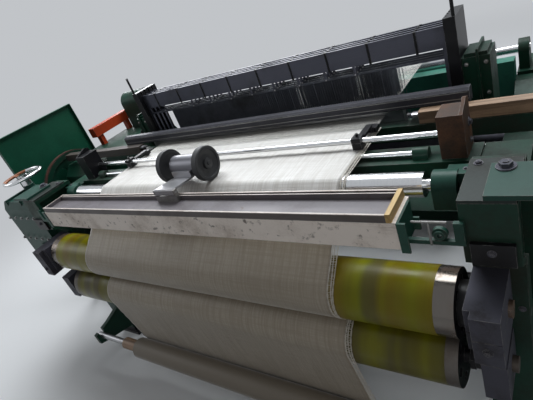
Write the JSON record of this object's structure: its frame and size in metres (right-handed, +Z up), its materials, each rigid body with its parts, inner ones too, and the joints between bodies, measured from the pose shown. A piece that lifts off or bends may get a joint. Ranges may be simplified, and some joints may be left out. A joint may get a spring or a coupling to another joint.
{
  "type": "power loom",
  "caption": "Flexible-rapier power loom weaving glass cloth, with sley, heald frames, take-up rollers, cloth roll, warp beam, drive and a cloth measuring counter.",
  "frame": {"origin": "middle of the bounding box's base, on the floor", "axes": "+X to the weaver's right, +Y from the weaver's side to the warp beam, +Z up"},
  "size_m": [3.396, 1.9748, 1.335],
  "materials": {
    "green_paint": "dark green enamel, worn and oily",
    "teal_paint": "faded grey-green enamel",
    "guard_paint": "mid green enamel on sheet steel",
    "orange_paint": "orange-red enamel",
    "motor_paint": "grey-blue enamel",
    "cap_paint": "grey enamel",
    "beam_paint": "speckled pale enamel with rust spots",
    "roller_coating": "yellow-green rubber coat, worn in bands",
    "chrome_plate": "polished",
    "bare_steel": "turned and drawn steel",
    "black_steel": "blackened, oily",
    "rusty_steel": "brown, rusted",
    "grey_casting": "bare grey casting",
    "slate_alloy": "dull slate grey",
    "tan_guide": "tan laminate",
    "tray_sheet": "grey, scratched",
    "yellow_wood": "plain board",
    "glass_cloth": "plain weave",
    "warp_thread": "parallel threads",
    "wheel_rubber": "dark grey",
    "belt_rubber": "black",
    "brake_lining": "brown"
  },
  "bodies": {
    "frame": {"left_side_frame": "green_paint", "right_side_frame": "green_paint", "side_cover_plates": "teal_paint", "machine_feet": "black_steel", "front_cross_beam": "green_paint", "rear_cross_beam": "green_paint", "harness_guide_beam": "green_paint", "frame_bolts": "bare_steel", "breast_beam": "beam_paint", "breast_beam_brackets": "teal_paint", "tool_tray": "tray_sheet", "tray_end_board": "yellow_wood", "tee_key": "bare_steel", "breast_roller_bearings": "green_paint", "guide_bar": "chrome_plate", "temple_bar": "chrome_plate", "temple_bar_brackets": "rusty_steel", "temples": "black_steel", "take_up_bearing_blocks": "grey_casting", "cloth_roll_brackets": "green_paint", "cloth": "glass_cloth", "warp": "warp_thread", "rocking_shaft_bearings": "green_paint", "heald_guides": "black_steel", "harness_housings": "green_paint", "whip_roller_brackets": "green_paint", "warp_beam_bearings": "green_paint", "left_drive_unit": "green_paint", "right_drive_unit": "green_paint", "end_guards": "guard_paint", "brake_band": "brake_lining", "drive_belt": "belt_rubber", "motor": "motor_paint", "top_bar": "orange_paint", "take_up_gearbox": "teal_paint", "counter_bracket": "bare_steel"},
    "sley": {"rocking_shaft": "black_steel", "sley_beam": "green_paint", "reed": "bare_steel", "reed_cap": "cap_paint", "rapier_guides": "tan_guide"},
    "left_rapier": {"left_rapier": "bare_steel"},
    "right_rapier": {"right_rapier": "bare_steel"},
    "heald_frame_1": {"heald_frame_1": "slate_alloy"},
    "heald_frame_2": {"heald_frame_2": "slate_alloy"},
    "heald_frame_3": {"heald_frame_3": "slate_alloy"},
    "heald_frame_4": {"heald_frame_4": "slate_alloy"},
    "breast_roller": {"breast_roller": "chrome_plate"},
    "upper_take_up_roller": {"upper_take_up_roller": "roller_coating"},
    "lower_take_up_roller": {"lower_take_up_roller": "roller_coating"},
    "press_roller": {"press_roller": "bare_steel"},
    "cloth_roll": {"cloth_roll": "glass_cloth"},
    "whip_roller": {"whip_roller": "chrome_plate"},
    "warp_beam": {"warp_beam": "grey_casting", "warp_yarn": "warp_thread"},
    "flywheel": {"flywheel": "green_paint"},
    "motor_pulley": {"motor_pulley": "bare_steel"},
    "hand_wheel": {"hand_wheel": "chrome_plate"},
    "counter_arm": {"counter_arm": "bare_steel"},
    "counter_wheels": {"counter_wheels": "wheel_rubber"}
  },
  "joints": [
    {"name": "sley_swing", "type": "hinge", "parent": "frame", "child": "sley", "pos_m": [0, -0.26, 0.24], "axis": [-1, 0, 0], "range_deg": [-7.5, 5]},
    {"name": "left_rapier_slide", "type": "slide", "parent": "sley", "child": "left_rapier", "axis": [1, 0, 0], "range_m": [0, 0.69]},
    {"name": "right_rapier_slide", "type": "slide", "parent": "sley", "child": "right_rapier", "axis": [-1, 0, 0], "range_m": [0, 0.69]},
    {"name": "heald_frame_1_lift", "type": "slide", "parent": "frame", "child": "heald_frame_1", "axis": [0, 0, 1], "range_m": [-0.05, 0.05]},
    {"name": "heald_frame_2_lift", "type": "slide", "parent": "frame", "child": "heald_frame_2", "axis": [0, 0, 1], "range_m": [-0.05, 0.05]},
    {"name": "heald_frame_3_lift", "type": "slide", "parent": "frame", "child": "heald_frame_3", "axis": [0, 0, 1], "range_m": [-0.05, 0.05]},
    {"name": "heald_frame_4_lift", "type": "slide", "parent": "frame", "child": "heald_frame_4", "axis": [0, 0, 1], "range_m": [-0.05, 0.05]},
    {"name": "upper_take_up_spin", "type": "hinge", "parent": "frame", "child": "upper_take_up_roller", "pos_m": [0, -0.832, 0.708], "axis": [1, 0, 0], "continuous": true},
    {"name": "lower_take_up_spin", "type": "hinge", "parent": "frame", "child": "lower_take_up_roller", "pos_m": [0, -0.832, 0.505], "axis": [1, 0, 0], "continuous": true},
    {"name": "press_roller_spin", "type": "hinge", "parent": "frame", "child": "press_roller", "pos_m": [0, -0.73572, 0.6065], "axis": [1, 0, 0], "continuous": true},
    {"name": "breast_roller_spin", "type": "hinge", "parent": "frame", "child": "breast_roller", "pos_m": [0, -0.64, 0.946], "axis": [1, 0, 0], "continuous": true},
    {"name": "cloth_roll_spin", "type": "hinge", "parent": "frame", "child": "cloth_roll", "pos_m": [0, -0.935, 0.165], "axis": [1, 0, 0], "continuous": true},
    {"name": "whip_roller_spin", "type": "hinge", "parent": "frame", "child": "whip_roller", "pos_m": [0, 0.466, 0.932], "axis": [1, 0, 0], "continuous": true},
    {"name": "warp_beam_spin", "type": "hinge", "parent": "frame", "child": "warp_beam", "pos_m": [0, 0.6375, 0.43], "axis": [1, 0, 0], "continuous": true},
    {"name": "flywheel_spin", "type": "hinge", "parent": "frame", "child": "flywheel", "pos_m": [0, -0.263, 0.768], "axis": [1, 0, 0], "continuous": true},
    {"name": "motor_pulley_spin", "type": "hinge", "parent": "frame", "child": "motor_pulley", "pos_m": [0, -0.452, 0.3], "axis": [1, 0, 0], "continuous": true},
    {"name": "hand_wheel_turn", "type": "hinge", "parent": "frame", "child": "hand_wheel", "pos_m": [-1.345, -0.658, 1.075], "axis": [0, 0, 1], "continuous": true},
    {"name": "counter_arm_lift", "type": "hinge", "parent": "frame", "child": "counter_arm", "pos_m": [0, -0.774, 1.023], "axis": [1, 0, 0], "range_deg": [0, 75]},
    {"name": "counter_wheel_spin", "type": "hinge", "parent": "counter_arm", "child": "counter_wheels", "pos_m": [0, -0.621, 1.0508], "axis": [1, 0, 0], "continuous": true}
  ],
  "couplings": [
    {"joint": "right_rapier_slide", "follows": "left_rapier_slide", "ratio": 1},
    {"joint": "heald_frame_2_lift", "follows": "heald_frame_1_lift", "ratio": -1},
    {"joint": "heald_frame_3_lift", "follows": "heald_frame_1_lift", "ratio": 1},
    {"joint": "heald_frame_4_lift", "follows": "heald_frame_1_lift", "ratio": -1},
    {"joint": "lower_take_up_spin", "follows": "upper_take_up_spin", "ratio": 1},
    {"joint": "press_roller_spin", "follows": "upper_take_up_spin", "ratio": -2.0556},
    {"joint": "breast_roller_spin", "follows": "upper_take_up_spin", "ratio": 2.5694},
    {"joint": "cloth_roll_spin", "follows": "upper_take_up_spin", "ratio": -1.7619},
    {"joint": "whip_roller_spin", "follows": "upper_take_up_spin", "ratio": 1.85},
    {"joint": "warp_beam_spin", "follows": "upper_take_up_spin", "ratio": 0.33036},
    {"joint": "counter_wheel_spin", "follows": "upper_take_up_spin", "ratio": -1.3806},
    {"joint": "motor_pulley_spin", "follows": "flywheel_spin", "ratio": 4.4897}
  ]
}
